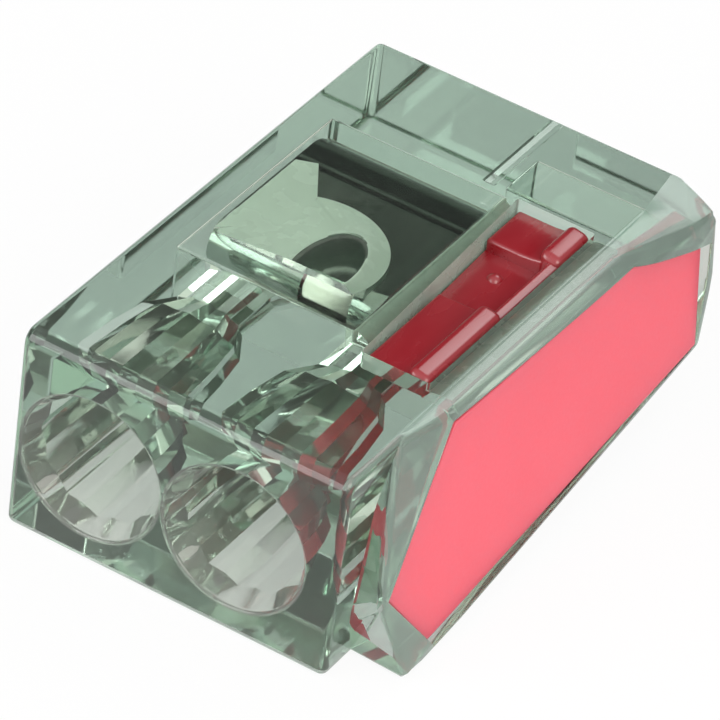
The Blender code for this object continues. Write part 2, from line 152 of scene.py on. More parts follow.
# Latch tongue: plain strip, rail along its right side and two ramped hooks
LATCH_CLEARANCE = 0.04 * MM
TONGUE_BOTTOM = 5.42 * MM
TONGUE_TOP = 5.92 * MM
RAMP_TOP = 6.3 * MM
RIDGE_TOP = 6.72 * MM
RIDGE_FALL = 0.15 * MM
RIDGE_WIDTH = 0.74 * MM
RAMP_RISE = 0.16 * MM
RAMP_FLAT = 0.55
RAMP_ROUND = 0.1 * MM
RAIL_TOP = 6.5 * MM
RAIL_WIDTH = 0.4 * MM
RAIL_ROUND = 0.15 * MM
FRONT_HOOK_LENGTH = 3.95 * MM
REAR_HOOK_LENGTH = 1.8 * MM
HOOK_ROUND = 0.26 * MM
PIP = (8.15 * MM, 11.05 * MM)
PIP_RADIUS = 0.26 * MM
PIP_SINK = 0.12 * MM

# Contact set
SPRING_THICKNESS = 0.25 * MM
SPRING_LEVEL = 5.475 * MM
SPRING_BEND = 0.6 * MM
SPRING_BEND_START = 8.3 * MM
FLANGE_RUN = 13.975 * MM
FLANGE_BEND = 1.1 * MM
FLANGE_LENGTH = 2.2 * MM
ARM_RIGHT = 6.45 * MM
NOTCH_HEIGHT = 4.74 * MM
LEAF_WIDTH = 3.0 * MM
LEAF_ANGLE = math.radians(40)
LEAF_LENGTH = 3.6 * MM
SHEET_ROUND = 0.04 * MM
# Painted shade on the steel: two dark bands across the arm near its back stand in for the shadow lines of a
# step; their place along the run and half width, in millimetres
SHADOW_LINE = 12.0
SHADOW_LINE_HALF = 0.11
SHADOW_BAND = 12.85
SHADOW_BAND_HALF = 0.6
BUSBAR_THICKNESS = 0.7 * MM
BUSBAR_BEND = 0.6 * MM

# Picture: the camera's aim, in the frame, and its angles
AIM = Vector((-0.43, -0.35, 3.3)) * MM
CAMERA_AZIMUTH = math.radians(27.49)
CAMERA_ELEVATION = math.radians(37.28)
CAMERA_ROLL = math.radians(7.87)
CAMERA_DISTANCE = 165.14 * MM
CAMERA_LENS = 300

# Skylight high at the back, for highlights: its direction, the cosines of its edge and its glow
SKYLIGHT_WAY = (0.0, 0.706, 0.708)
SKYLIGHT_FADE = 0.95
SKYLIGHT_EDGE = 0.975
SKYLIGHT_GLOW = 2.6

# Dark flag at the back left, which the top face and the spring's flat arm mirror
FLAG_WAY = (-0.331, 0.638, 0.695)
FLAG_FADE = 0.970
FLAG_EDGE = 0.988
FLAG_SHADE = 0.97

# Light that comes through the plastic: from the room and from the floor
THROUGH_GLOW = 1.1
THROUGH_TINT = (1.0, 0.965, 0.89, 1.0)
FLOOR_GLOW = 0.75
FLOOR_GAP = 0.02 * MM

# Floor: its reach and paint, and how much of its glow the camera and the plastic see
FLOOR_REACH = 3.0
FLOOR_PAINT = (0.9, 0.9, 0.9, 1.0)
FLOOR_SEEN = 0.92
FLOOR_INSIDE = 0.9

# Room for rays other than the camera's and those through the plastic: brighter up, right and to the front
ROOM_UP = 0.45
ROOM_RIGHT = 0.35
ROOM_BACK = 0.5
ROOM_LEVEL = 0.35
ROOM_LEAST = 0.1
WHITE = (1.0, 1.0, 1.0, 1.0)

# Softboxes: place, side and power
KEY_PLACE = (0.14, -0.08, 0.14)
KEY_SIZE = 0.12
KEY_POWER = 0.15
KEY_COLOUR = (1.0, 0.95, 0.86)
FILL_PLACE = (-0.12, -0.16, 0.10)
FILL_SIZE = 0.14
FILL_POWER = 0.2

# Finishes of the housing's faces, in the order of its materials
CLEAR, VEILED, MATT_PAINTED_LIGHT, FROSTED, SATIN, HAZY = range(6)

# Name, clearness, grain and the pale and deep ends of the colour of each of these finishes
HOUSING_FINISHES = (
    ("clear_plastic", 0.985, 0.06, (0.84, 0.93, 0.87), (0.80, 0.89, 0.83)),
    ("veiled_plastic", 0.72, 0.06, (0.92, 0.98, 0.94), (0.86, 0.93, 0.89)),
    # The matt finish's pale colour is painted light: pale patches on the ceiling's round recess, its flare
    # and the chamber's step stand in for pale light seen through the plastic there
    ("matt_painted_light_plastic", 0.08, 0.5, (0.86, 0.99, 0.90), (0.79, 0.94, 0.83)),
    ("frosted_plastic", 0.45, 0.5, (0.56, 0.68, 0.61), (0.49, 0.61, 0.54)),
    ("satin_plastic", 0.68, 0.3, (0.52, 0.66, 0.58), (0.46, 0.60, 0.52)),
    ("hazy_plastic", 0.9, 0.06, (0.96, 0.97, 0.92), (0.90, 0.92, 0.87)),
)

# Limits on a face's normal, by which it takes a finish
DOWNWARD = 0.9
SLOPE_STEEPEST = 0.35
SLOPE_FLATTEST = 0.99
TURNED = 0.5
OUTWARD = 0.3

# Plastics: index, colour taken up per metre, and the two ends of each finish's colour
PLASTIC_INDEX = 1.58
ABSORBED = (0.30, 0.62, 0.44, 1.0)
ABSORBED_DENSITY = 70.0
# The plate's reds are painted light: the same red plastic as the latch, painted far lighter for the light and
# sheen on the side face
PLATE_LIT_DEEP = (0.88, 0.118, 0.165)
PLATE_LIT_PALE = (0.94, 0.138, 0.19)
PLATE_DEPTH = 0.0015
PLATE_SPREAD = (1.0, 0.15, 0.15)
LATCH_DEEP = (0.27, 0.010, 0.017)
LATCH_PALE = (0.34, 0.016, 0.025)

# Metals: the two ends of each colour
TIN_DEEP = (0.70, 0.69, 0.65)
TIN_PALE = (0.82, 0.81, 0.77)
# The steel's dark end is also the colour of its painted shadow bands
STEEL_DARK_AND_SHADOW = (0.02, 0.035, 0.027)
STEEL_PALE = (0.52, 0.58, 0.54)

# Patterns, in cycles per metre, and heights of their relief
FINE = 9000
FLOW = (350, 120, 350)
HAZE = (1500, 1500, 1500)
SPARKED = (FINE, FINE, FINE)
PLATE_CLOUD = (300, 300, 300)
SMEAR = (1400, 500, 1400)
ROLLED_ACROSS = (400, FINE, FINE)
ROLLED_ALONG = (FINE, 300, FINE)
TIN_CLOUD = (700, 700, 700)
STEEL_CLOUD = (500, 500, 500)
FLOW_RELIEF = 0.00003
SPARK_RELIEF = 0.00001
SMEAR_RELIEF = 0.00002
ROLLED_RELIEF = 0.000008

PORT_STEPS = FLATS * FLAT_STEPS
BEND_STEPS = 16
ROUND_STEPS = 6
DOME_STEPS = 96
RAMP_STEPS = 8
LEAF_STEPS = 4
PIP_STEPS = 24
EASE_STEPS = 2
CORNER_ANGLE = math.radians(45)
EASE_ANGLE = math.radians(50)
FLAT_ANGLE = math.radians(1)
SMOOTH_ANGLE = math.radians(35)
HOUSING_SMOOTH_ANGLE = math.radians(17)
MERGE = 1e-7
OVERSHOOT = 1.0 * MM
OVERLAP = 0.2 * MM


def at(x, y, z):
    """Place in the frame of a point given from the housing's lower front left corner."""
    return CORNER + Vector((x, y, z))


def piece_from(bm, name):
    """An object from a bmesh whose faces are turned outwards."""
    bmesh.ops.recalc_face_normals(bm, faces=bm.faces)
    mesh = bpy.data.meshes.new(name)
    bm.to_mesh(mesh)
    bm.free()
    piece = bpy.data.objects.new(name, mesh)
    bpy.context.scene.collection.objects.link(piece)
    return piece


def rounded(bm, width, segments=ROUND_STEPS, edges=None):
    """Rounds off the given edges, or all of them."""
    bmesh.ops.bevel(
        bm,
        geom=edges or bm.edges[:],
        offset=width,
        offset_type="OFFSET",
        segments=segments,
        profile=0.5,
        affect="EDGES",
        clamp_overlap=True,
        material=-1,
    )


def block(name, low, high, round_off=0.0):
    """A block between two corners, with its edges rounded."""
    low = at(*low)
    high = at(*high)
    bm = bmesh.new()
    bmesh.ops.create_cube(bm, size=1.0)
    bmesh.ops.scale(bm, vec=high - low, verts=bm.verts)
    bmesh.ops.translate(bm, vec=(low + high) / 2, verts=bm.verts)
    if round_off:
        rounded(bm, round_off)
    return piece_from(bm, name)


def hull(name, points, round_off=0.0):
    """The tightest convex block round some points, with its edges rounded."""
    bm = bmesh.new()
    for point in points:
        bm.verts.new(at(*point))
    made = bmesh.ops.convex_hull(bm, input=bm.verts)
    spare = [item for item in made["geom_interior"] if isinstance(item, bmesh.types.BMVert)]
    bmesh.ops.delete(bm, geom=spare, context="VERTS")
    bmesh.ops.dissolve_limit(bm, angle_limit=FLAT_ANGLE, verts=bm.verts, edges=bm.edges)
    if round_off:
        rounded(bm, round_off)
    return piece_from(bm, name)


def drawn_out(name, outline, start, end, round_off=0.0):
    """An outline of (x, z) points drawn out along Y, with its edges rounded."""
    bm = bmesh.new()
    face = bm.faces.new([bm.verts.new(at(x, start, z)) for x, z in outline])
    drawn = bmesh.ops.extrude_face_region(bm, geom=[face])
    moved = [item for item in drawn["geom"] if isinstance(item, bmesh.types.BMVert)]
    bmesh.ops.translate(bm, vec=(0, end - start, 0), verts=moved)
    if round_off:
        rounded(bm, round_off)
    return piece_from(bm, name)


def arc(centre, radius, start, end, steps=BEND_STEPS):
    """Points on a circle, with angles measured from the first axis towards the second."""
    angles = [start + (end - start) * step / steps for step in range(steps + 1)]
    return [(centre[0] + radius * math.cos(angle), centre[1] + radius * math.sin(angle)) for angle in angles]


def turned(profile, centre, axis, steps):
    """A profile of (radius, travel) points turned about an axis through a centre."""
    across = Vector((1, 0, 0))
    bm = bmesh.new()
    points = [bm.verts.new(centre + across * radius + axis * travel) for radius, travel in profile]
    edges = [bm.edges.new(pair) for pair in zip(points, points[1:])]
    bmesh.ops.spin(
        bm, geom=points + edges, cent=centre, axis=axis, angle=math.tau, steps=steps, use_merge=True
    )
    bmesh.ops.remove_doubles(bm, verts=bm.verts, dist=MERGE)
    return bm


def settled(piece):
    """The piece with its modifiers worked into its mesh."""
    graph = bpy.context.evaluated_depsgraph_get()
    mesh = bpy.data.meshes.new_from_object(piece.evaluated_get(graph))
    piece.modifiers.clear()
    piece.data = mesh
    return piece


def carved(piece, tools, operation="DIFFERENCE"):
    """The piece after each tool has been cut from it or joined to it."""
    for tool in tools:
        step = piece.modifiers.new(tool.name, "BOOLEAN")
        step.operation = operation
        step.object = tool
        step.solver = "EXACT"
    settled(piece)
    for tool in tools:
        bpy.data.objects.remove(tool, do_unlink=True)
    return piece


def joined(piece, others):
    """The piece with the shells of the others added to its mesh."""
    bm = bmesh.new()
    for part in (piece, *others):
        bm.from_mesh(part.data)
    bm.to_mesh(piece.data)
    bm.free()
    for part in others:
        bpy.data.objects.remove(part, do_unlink=True)
    return piece


def smooth(piece, angle=SMOOTH_ANGLE):
    """Shades a piece smooth up to an angle, with flat faces kept flat."""
    piece.data.shade_smooth()
    piece.data.set_sharp_from_angle(angle=angle)
    level = piece.modifiers.new("flat faces", "WEIGHTED_NORMAL")
    level.keep_sharp = True
    return piece


class Wire:
    """An output of a shader node. Sums on it add Math nodes to its tree."""

    def __init__(self, tree, socket):
        self.tree = tree
        self.socket = socket

    def node(self, kind, settings, inputs, output=0):
        """A new node of the tree: settings come first, then the values or links of its sockets."""
        return add_node(self.tree, kind, settings, inputs, output)

    def math(self, operation, first, second):
        return self.node("ShaderNodeMath", {"operation": operation}, {0: first, 1: second})

    def __add__(self, other):
        return self.math("ADD", self, other)

    def __sub__(self, other):
        return self.math("SUBTRACT", self, other)

    def __rsub__(self, other):
        return self.math("SUBTRACT", other, self)

    def __mul__(self, other):
        return self.math("MULTIPLY", self, other)

    __radd__ = __add__
    __rmul__ = __mul__


def add_node(tree, kind, settings, inputs, output=0):
    """Adds one node to a tree and returns the asked output."""
    made = tree.nodes.new(kind)
    for name, value in settings.items():
        if name == "stops":
            while len(made.color_ramp.elements) < len(value):
                made.color_ramp.elements.new(1.0)
            for element, (place, colour) in zip(made.color_ramp.elements, value):
                element.position = place
                element.color = colour
        else:
            setattr(made, name, value)
    for name, value in inputs.items():
        if isinstance(value, Wire):
            tree.links.new(value.socket, made.inputs[name])
        else:
            made.inputs[name].default_value = value
    return Wire(tree, made.outputs[output])


class Finish:
    """A Principled material, with its fixed values set at once and patterns linked afterwards."""

    def __init__(self, name, **fixed):
        self.material = bpy.data.materials.new(name)
        self.material.use_nodes = True
        self.tree = self.material.node_tree
        self.shader = self.tree.nodes["Principled BSDF"]
        for socket, value in fixed.items():
            self.shader.inputs[socket.replace("_", " ")].default_value = value
        self.place = add_node(self.tree, "ShaderNodeTexCoord", {}, {}, "Object")

    def node(self, kind, settings, inputs, output=0):
        return add_node(self.tree, kind, settings, inputs, output)

    def stretched(self, x, y, z):
        """Object coordinates scaled along each axis, in cycles per metre."""
        return self.node("ShaderNodeMapping", {}, {"Vector": self.place, "Scale": (x, y, z)})

    def noise(self, vector, detail=3.0, roughness=0.5):
        inputs = {"Vector": vector, "Scale": 1.0, "Detail": detail, "Roughness": roughness}
        return self.node("ShaderNodeTexNoise", {}, inputs, "Fac")

    def blend(self, factor, first, second):
        """A colour between two, by a factor."""
        inputs = {"Factor": factor, 6: (*first, 1.0), 7: (*second, 1.0)}
        return self.node("ShaderNodeMix", {"data_type": "RGBA"}, inputs, 2)

    def bump(self, height, strength, distance):
        inputs = {"Height": height, "Strength": strength, "Distance": distance}
        return self.node("ShaderNodeBump", {}, inputs)

    def link(self, **patterns):
        for socket, wire in patterns.items():
            self.tree.links.new(wire.socket, self.shader.inputs[socket.replace("_", " ")])
        return self.material


def clear_plastic(name, clearness, grain, pale, deep):
    """Grey-green see-through plastic, with the faint waves and flow lines of a moulding."""
    finish = Finish(name, Transmission_Weight=clearness, IOR=PLASTIC_INDEX)
    waves = finish.noise(finish.stretched(*FLOW), detail=2.0)
    haze = finish.noise(finish.stretched(*HAZE), detail=4.0)
    absorb = {"Color": ABSORBED, "Density": ABSORBED_DENSITY}
    volume = finish.node("ShaderNodeVolumeAbsorption", {}, absorb)
    outlet = finish.tree.nodes["Material Output"]
    finish.tree.links.new(volume.socket, outlet.inputs["Volume"])
    return finish.link(
        Base_Color=finish.blend(haze, deep, pale),
        Roughness=haze * grain + 0.01,
        Normal=finish.bump(waves, 0.1, FLOW_RELIEF),
    )


def lit_red_plate():
    """Satin red plastic of the cap's plate, which light enters a little, with a fine spark-eroded grain; its
    red is painted light, the latch's red made far lighter for the light and sheen on the side face.
    """
    finish = Finish(
        "lit_red_plate",
        Roughness=0.45,
        IOR=1.5,
        Subsurface_Weight=0.5,
        Subsurface_Radius=PLATE_SPREAD,
        Subsurface_Scale=PLATE_DEPTH,
    )
    grain = finish.noise(finish.stretched(*SPARKED), detail=3.0)
    cloud = finish.noise(finish.stretched(*PLATE_CLOUD), detail=2.0)
    return finish.link(
        Base_Color=finish.blend(cloud, PLATE_LIT_DEEP, PLATE_LIT_PALE),
        Roughness=grain * 0.2 + 0.36,
        Normal=finish.bump(grain, 0.25, SPARK_RELIEF),
    )


def red_latch():
    """Glossy red plastic of the latch tongue."""
    finish = Finish("red_latch", Roughness=0.2, IOR=1.6, Coat_Weight=0.6, Coat_Roughness=0.15)
    smear = finish.noise(finish.stretched(*SMEAR), detail=3.0)
    return finish.link(
        Base_Color=finish.blend(smear, LATCH_DEEP, LATCH_PALE),
        Roughness=smear * 0.2 + 0.16,
        Normal=finish.bump(smear, 0.2, SMEAR_RELIEF),
    )


def tinned_copper():
    """Bright tin plate with faint rolling lines across the bar."""
    finish = Finish("tinned_copper", Metallic=1.0, Roughness=0.2)
    lines = finish.noise(finish.stretched(*ROLLED_ACROSS), detail=2.0)
    cloud = finish.noise(finish.stretched(*TIN_CLOUD), detail=3.0)
    return finish.link(
        Base_Color=finish.blend(cloud, TIN_DEEP, TIN_PALE),
        Roughness=lines * 0.16 + 0.12,
        Normal=finish.bump(lines, 0.2, ROLLED_RELIEF),
    )


def spring_steel():
    """Dark rolled spring steel, with lines along the strip and two dark bands across it that are painted
    shade.
    """
    finish = Finish("spring_steel", Metallic=1.0, Roughness=0.15)
    lines = finish.noise(finish.stretched(*ROLLED_ALONG), detail=2.0)
    cloud = finish.noise(finish.stretched(*STEEL_CLOUD), detail=3.0)
    run = finish.node("ShaderNodeSeparateXYZ", {}, {0: finish.place}, "Y")
    run = (run - CORNER.y) * (1 / MM)
    # Painted shade: a dark line and a dark band across the arm, for the shadows of a step near its back
    edge = finish.node("ShaderNodeMath", {"operation": "COMPARE"}, {0: run, 1: SHADOW_LINE, 2: SHADOW_LINE_HALF})
    shade_band = finish.node("ShaderNodeMath", {"operation": "COMPARE"}, {0: run, 1: SHADOW_BAND, 2: SHADOW_BAND_HALF})
    tone_with_shade = (cloud * 0.5 + 0.5) * (1 - edge - shade_band)
    return finish.link(
        Base_Color=finish.blend(tone_with_shade, STEEL_DARK_AND_SHADOW, STEEL_PALE),
        Roughness=lines * 0.1 + 0.08,
        Normal=finish.bump(lines, 0.2, ROLLED_RELIEF),
    )


def dressed(piece, finish, slot, body, *nodes):
    """Gives a piece its finish and the body that it rides on, and hides the nodes it stands for; the record's
    slot is not used.
    """
    piece.data.materials.clear()
    piece.data.materials.append(finish)
    if body:
        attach(piece, body)
    if nodes:
        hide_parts(*nodes)
    return piece


def tunnel(name, port):
    """Tool for one wire port: rounded mouth, bore with ribbed flats along it, cone and throat."""
    lip = arc((MOUTH_RADIUS + MOUTH_ROUND, MOUTH_ROUND), MOUTH_ROUND, math.pi * 1.5, math.pi, ROUND_STEPS)
    profile = [(0, -OVERSHOOT), (MOUTH_RADIUS + MOUTH_ROUND, -OVERSHOOT)]
    profile += lip
    profile += [
        (BORE_RADIUS, MOUTH_TAPER),
        *BORE_STEPS,
        (THROAT_RADIUS, THROAT_START),
        (THROAT_RADIUS, TUNNEL_LENGTH + OVERLAP),
        (0, TUNNEL_LENGTH + OVERLAP),
    ]
    centre = at(port, 0, PORT_HEIGHT)
    bm = turned(profile, centre, Vector((0, 1, 0)), PORT_STEPS)
    for vert in bm.verts:
        offset = vert.co - centre
        depth = offset.y
        offset.y = 0
        if MOUTH_TAPER / 2 < depth and offset.length > THROAT_RADIUS / 2:
            sector = math.tau / FLATS
            turn = math.atan2(offset.z, offset.x) % sector - sector / 2
            vert.co -= offset * (1 - math.cos(sector / 2) / math.cos(turn))
            ridge = 1 - abs(turn) / (sector / 2)
            vert.co -= offset.normalized() * RIB_HEIGHT * ridge
    return piece_from(bm, name)


def chamber_step():
    """Tool for the slope between the chamber's two ceilings."""
    near = HIGH_RIGHT - OVERLAP
    outline = [(near, LOW_CEILING - OVERLAP), (STEP_FOOT, LOW_CEILING - OVERLAP), (STEP_FOOT, LOW_CEILING)]
    outline += [(HIGH_RIGHT - MERGE, HIGH_CEILING - CHAMBER_ROUND), (near, HIGH_CEILING - CHAMBER_ROUND)]
    return drawn_out("chamber_step", outline, TUNNEL_LENGTH + CHAMBER_ROUND, CHAMBER_BACK - CHAMBER_ROUND)


def ceiling_dome():
    """Tool for the recess in the chamber's ceiling: round sloped rim, roof off its centre, straight front."""
    rise = (DOME_RADIUS - DOME_ROOF) * math.tan(DOME_SLOPE)
    bend_centre = (DOME_ROOF - DOME_ROUND * math.sin(DOME_SLOPE / 2), rise - DOME_ROUND)
    bend = arc(bend_centre, DOME_ROUND, math.pi / 2 - DOME_SLOPE, math.pi / 2, ROUND_STEPS)
    profile = [(0, -OVERLAP), (DOME_RADIUS, -OVERLAP), (DOME_RADIUS, 0), *bend, (0, rise)]
    base = at(*DOME_CENTRE, HIGH_CEILING)
    bm = turned(profile, base, Vector((0, 0, 1)), DOME_STEPS)
    for vert in bm.verts:
        share = max(0, (vert.co.z - base.z) / rise)
        vert.co.y += (vert.co.y - base.y) * (DOME_STRETCH - 1) * share
        vert.co += DOME_SHIFT * share
    front = {"plane_co": at(0, DOME_FRONT, 0), "plane_no": (0, -1, 0), "clear_outer": True}
    cut = bmesh.ops.bisect_plane(bm, geom=bm.verts[:] + bm.edges[:] + bm.faces[:], **front)["geom_cut"]
    bmesh.ops.contextual_create(bm, geom=[item for item in cut if isinstance(item, bmesh.types.BMEdge)])
    return piece_from(bm, "dome")


def ceiling_flare():
    """Tool for the shallow recess that joins the round one to the chamber's left wall."""
    levels = (HIGH_CEILING - OVERLAP, HIGH_CEILING + FLARE_RISE)
    return hull("flare", [(x, y, level) for x, y in in_metres(CEILING_FLARE) for level in levels])


def grown(outline, by):
    """An outline of points, listed anticlockwise, moved outwards by an even distance."""
    moved = []
    for index, corner in enumerate(outline):
        before = Vector(corner) - Vector(outline[index - 1])
        after = Vector(outline[(index + 1) % len(outline)]) - Vector(corner)
        first = Vector((before.y, -before.x)).normalized()
        second = Vector((after.y, -after.x)).normalized()
        moved.append(tuple(Vector(corner) + (first + second) * by / (1 + first.dot(second))))
    return moved


def plate_face(y, z):
    """How far out the cap's leaning face lies at a place (y, z)."""
    return BODY_WIDTH + PLATE_OUTSET + math.tan(PLATE_TURN) * y - math.tan(PLATE_LEAN) * z


def in_metres(outline):
    return [tuple(value * MM for value in point) for point in outline]


def recess_tools():
    """Tools for the recess that takes the cap's plate, and for its mouth through the rim."""
    opening = grown(in_metres(PLATE_FACE), CAP_CLEARANCE)
    bed = [(SEAT_FACE, y, z) for y, z in grown(in_metres(PLATE_BED), CAP_CLEARANCE)]
    inside = [(plate_face(y, z) - CAP_CLEARANCE, y, z) for y, z in opening]
    lip = [(plate_face(y, z), y, z) for y, z in opening]
    outside = [(x + OVERSHOOT, y, z) for x, y, z in lip]
    return [hull("recess", bed + lip), hull("recess_mouth", inside + outside)]


def side_frame():
    """Clear frame on the right side, with a root that reaches into the body."""
    roots = in_metres(FRAME_ROOTS)
    corners = [(BODY_WIDTH + depth, y, z) for depth in (-FRAME_ROOT, 0) for y, z in roots]
    corners += [(BODY_WIDTH + outset, y, z) for outset, y, z in in_metres(FRAME_RIM)]
    return hull("side_frame", corners, FRAME_ROUND)


def facet_tool():
    """Tool for the slanted corner between the top face, the back face and the frame's shoulder."""
    brow, shoulder, top = (Vector((BODY_WIDTH + x, y, z)) for x, y, z in in_metres(FACET))
    centre = (brow + shoulder + top) / 3
    outward = (shoulder - brow).cross(top - brow).normalized() * OVERSHOOT
    near = [centre + (point - centre) * FACET_SPREAD for point in (brow, shoulder, top)]
    return hull("facet", near + [point + outward for point in near])


def top_groove():
    """Tool for the shallow groove that runs along the top face to the back edge."""
    centre = (REAR_LEFT, BODY_HEIGHT + GROOVE_RADIUS - GROOVE_DEPTH)
    outline = arc(centre, GROOVE_RADIUS, 0, math.tau)[:-1]
    return drawn_out("top_groove", outline, GROOVE_START, BODY_LENGTH + OVERSHOOT)


def latch_window():
    """Tool for the window in the top face, wider towards the back."""
    corners = []
    for height in (POCKET_BOTTOM, BODY_HEIGHT + OVERSHOOT):
        corners += [(WINDOW_LEFT, WINDOW_START, height), (WINDOW_RIGHT, WINDOW_START, height)]
        corners += [(WINDOW_LEFT - WINDOW_TAPER, WINDOW_END, height), (WINDOW_RIGHT, WINDOW_END, height)]
    return hull("latch_window", corners, WINDOW_ROUND)


def latch_slot():
    """Tool for the slot that the tongue slides in through, with a ceiling that flares to the side."""
    near = WINDOW_RIGHT - OVERLAP
    far = SEAT_FACE + OVERLAP
    outline = [(near, POCKET_BOTTOM), (far, POCKET_BOTTOM), (far, POCKET_TOP + POCKET_FLARE)]
    outline += [(WINDOW_RIGHT, POCKET_TOP), (near, POCKET_TOP)]
    return drawn_out("latch_slot", outline, WINDOW_START, WINDOW_END)


def body_block():
    """Plain body with eased edges and a rounder edge over the ports."""
    brow = arc((BROW_ROUND, BODY_HEIGHT - BROW_ROUND), BROW_ROUND, math.pi, math.pi / 2, ROUND_STEPS)
    outline = [(0, 0), *brow, (BODY_LENGTH, BODY_HEIGHT), (BODY_LENGTH, 0)]
    bm = bmesh.new()
    side = bm.faces.new([bm.verts.new(at(0, y, z)) for y, z in outline])
    drawn = bmesh.ops.extrude_face_region(bm, geom=[side])
    moved = [item for item in drawn["geom"] if isinstance(item, bmesh.types.BMVert)]
    bmesh.ops.translate(bm, vec=(BODY_WIDTH, 0, 0), verts=moved)
    bmesh.ops.recalc_face_normals(bm, faces=bm.faces)
    corners = [edge for edge in bm.edges if edge.calc_face_angle() > CORNER_ANGLE]
    rounded(bm, BODY_ROUND, edges=corners)
    return piece_from(bm, "clear_housing")


def finish_index(face):
    """Finish of one face of the housing, by its place and the way it faces."""
    place = face.center - CORNER
    normal = face.normal
    out = (place.xy - Vector(DOME_CENTRE)).length
    reach = min(math.hypot(place.x - port, place.z - PORT_HEIGHT) for port in (LEFT_PORT, RIGHT_PORT))
    in_bore = reach < MOUTH_RADIUS + MOUTH_ROUND and MERGE < place.y < TUNNEL_LENGTH
    in_flare = HIGH_CEILING + MERGE < place.z < HIGH_CEILING + FLARE_RISE + MERGE
    in_dome = out < DOME_RADIUS and HIGH_CEILING < place.z < BODY_HEIGHT - MERGE
    on_step = HIGH_RIGHT - CHAMBER_ROUND < place.x < STEP_FOOT and LOW_CEILING < place.z < HIGH_CEILING
    on_rim = place.x > BODY_WIDTH + BODY_ROUND / 2
    on_brow = place.x > BODY_WIDTH - BODY_ROUND and place.z > BODY_HEIGHT - BODY_ROUND
    by_latch = WINDOW_LEFT - WINDOW_TAPER - WINDOW_ROUND < place.x < WINDOW_LEFT + MERGE
    in_slot = WINDOW_RIGHT < place.x < SEAT_FACE + OVERLAP and place.z < BODY_HEIGHT - WINDOW_ROUND
    rules = (
        (place.z < BODY_ROUND, VEILED),
        (in_bore, HAZY),
        # Painted light: pale matt patches on the ceiling's flare and on the slope of its round recess
        (in_flare and -normal.z > DOWNWARD, MATT_PAINTED_LIGHT),
        (in_dome and SLOPE_STEEPEST < -normal.z < SLOPE_FLATTEST, MATT_PAINTED_LIGHT),
        (on_rim and normal.x > OUTWARD, SATIN),
        (on_brow and normal.z > TURNED and place.y < WINDOW_END, SATIN),
        (by_latch and normal.x > TURNED and POCKET_BOTTOM < place.z < BODY_HEIGHT - MERGE, FROSTED),
        # Painted light: pale matt patch on the chamber's step
        (on_step and -normal.x > TURNED, MATT_PAINTED_LIGHT),
        (in_slot and -normal.z > TURNED and place.z > POCKET_TOP - MERGE, FROSTED),
    )
    return next((finish for applies, finish in rules if applies), CLEAR)


def make_housing(*finishes):
    """Clear shell with its tunnels, chamber, window, pocket and side frame."""
    housing = body_block()
    carved(housing, [side_frame()], "UNION")
    tools = [
        facet_tool(),
        top_groove(),
        *recess_tools(),
        tunnel("left_tunnel", LEFT_PORT),
        tunnel("right_tunnel", RIGHT_PORT),
        block(
            "spring_space",
            (CHAMBER_LEFT, TUNNEL_LENGTH, CHAMBER_FLOOR),
            (HIGH_RIGHT, CHAMBER_BACK, HIGH_CEILING),
            CHAMBER_ROUND,
        ),
        block(
            "contact_space",
            (HIGH_RIGHT - 2 * OVERLAP, TUNNEL_LENGTH, CHAMBER_FLOOR),
            (SEAT_FACE + OVERLAP, CHAMBER_BACK, LOW_CEILING),
            CHAMBER_ROUND,
        ),
        chamber_step(),
        ceiling_dome(),
        ceiling_flare(),
        latch_window(),
        latch_slot(),
        block(
            "rear_pocket",
            (REAR_LEFT, REAR_START, CHAMBER_FLOOR),
            (SEAT_FACE + OVERLAP, REAR_END, REAR_TOP),
            CHAMBER_ROUND,
        ),
    ]
    carved(housing, tools)
    dressed(smooth(housing, HOUSING_SMOOTH_ANGLE), finishes[CLEAR], "clear_plastic", "connector", "housing")
    for finish in finishes[VEILED:]:
        housing.data.materials.append(finish)
    for face in housing.data.polygons:
        face.material_index = finish_index(face)
    return housing


def make_plate(finish):
    """Six-sided plate of the side cap, with the plug that closes the chamber behind it."""
    bed = grown(in_metres(PLATE_BED), CAP_CLEARANCE + SEAT_PRESS)
    corners = [(SEAT_FACE - SEAT_PRESS, y, z) for y, z in bed]
    corners += [(plate_face(y, z), y, z) for y, z in in_metres(PLATE_FACE)]
    plate = hull("cap_plate", corners, PLATE_ROUND)
    plug = block(
        "plug",
        (PLUG_FACE, TUNNEL_LENGTH + CAP_CLEARANCE, CHAMBER_FLOOR + CAP_CLEARANCE),
        (SEAT_FACE + OVERLAP, CHAMBER_BACK - CAP_CLEARANCE, LOW_CEILING - CAP_CLEARANCE),
        PLATE_ROUND,
    )
    carved(plate, [plug], "UNION")
    return dressed(smooth(plate), finish, "red_plastic", "connector", "side_cap")


